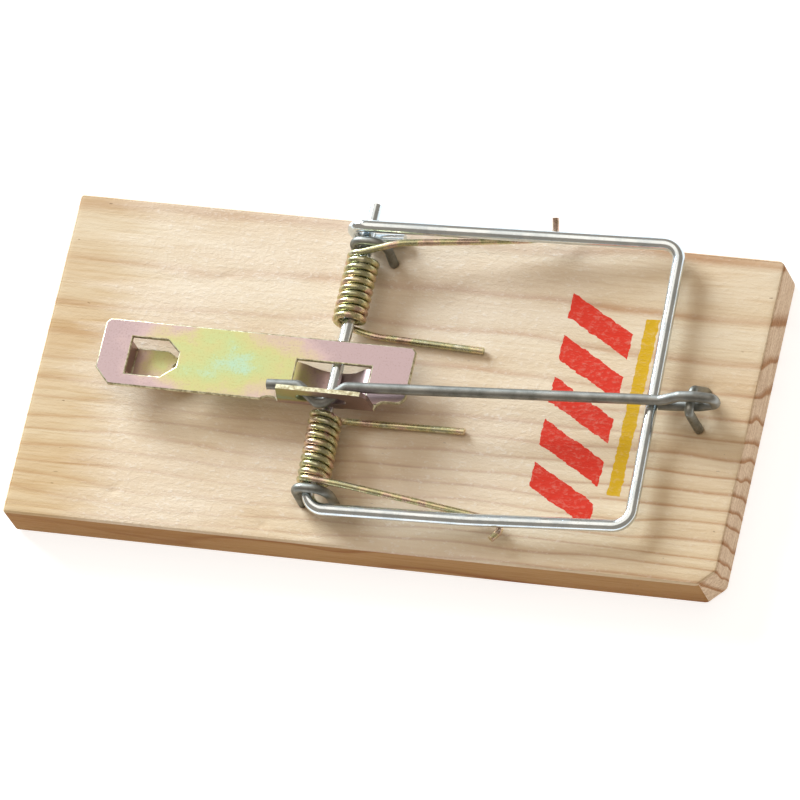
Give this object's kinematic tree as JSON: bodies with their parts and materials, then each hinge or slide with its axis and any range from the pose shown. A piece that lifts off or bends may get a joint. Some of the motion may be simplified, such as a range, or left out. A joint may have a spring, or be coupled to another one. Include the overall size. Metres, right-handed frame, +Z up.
{
  "type": "snap mouse trap",
  "caption": "Set snap mouse trap: wooden board, sprung wire snap bar on an axle, wire lock bar hinged on a staple, and a stamped tilting bait plate.",
  "frame": {"origin": "centre of the board's underside", "axes": "+X along the board from the bait end to the rod staple, +Y across it to the side of the axle's free end, +Z up"},
  "size_m": [0.098, 0.0479, 0.015],
  "materials": {
    "pine": "planed pine, lightly waxed",
    "bright_zinc": "bright zinc plated wire",
    "rod_zinc": "dull zinc plated wire",
    "plate_chromate": "yellow chromated zinc on stamped steel",
    "spring_chromate": "yellow chromated spring wire",
    "staple_zinc": "dull zinc plated wire"
  },
  "bodies": {
    "base": {"base_board": "pine", "back_axle_staple": "staple_zinc", "front_axle_staple": "staple_zinc", "rod_staple": "staple_zinc", "back_spring": "spring_chromate", "front_spring": "spring_chromate"},
    "hammer": {"striker_bail": "bright_zinc"},
    "rod": {"hold_down_rod": "rod_zinc"},
    "trigger": {"trigger_plate": "plate_chromate"}
  },
  "joints": [
    {"name": "hammer_swing", "type": "hinge", "parent": "base", "child": "hammer", "pos_m": [-0.00675, 0, 0.00925], "axis": [0, -1, 0], "range_deg": [0, 178], "deforming": ["back_spring", "front_spring"]},
    {"name": "rod_lift", "type": "hinge", "parent": "base", "child": "rod", "pos_m": [0.0419, 0.0006, 0.01013], "axis": [0, 1, 0], "range_deg": [0, 185]},
    {"name": "trigger_tilt", "type": "hinge", "parent": "base", "child": "trigger", "pos_m": [-0.00675, 0, 0.00925], "axis": [0, -1, 0], "range_deg": [-6, 2.3]}
  ]
}
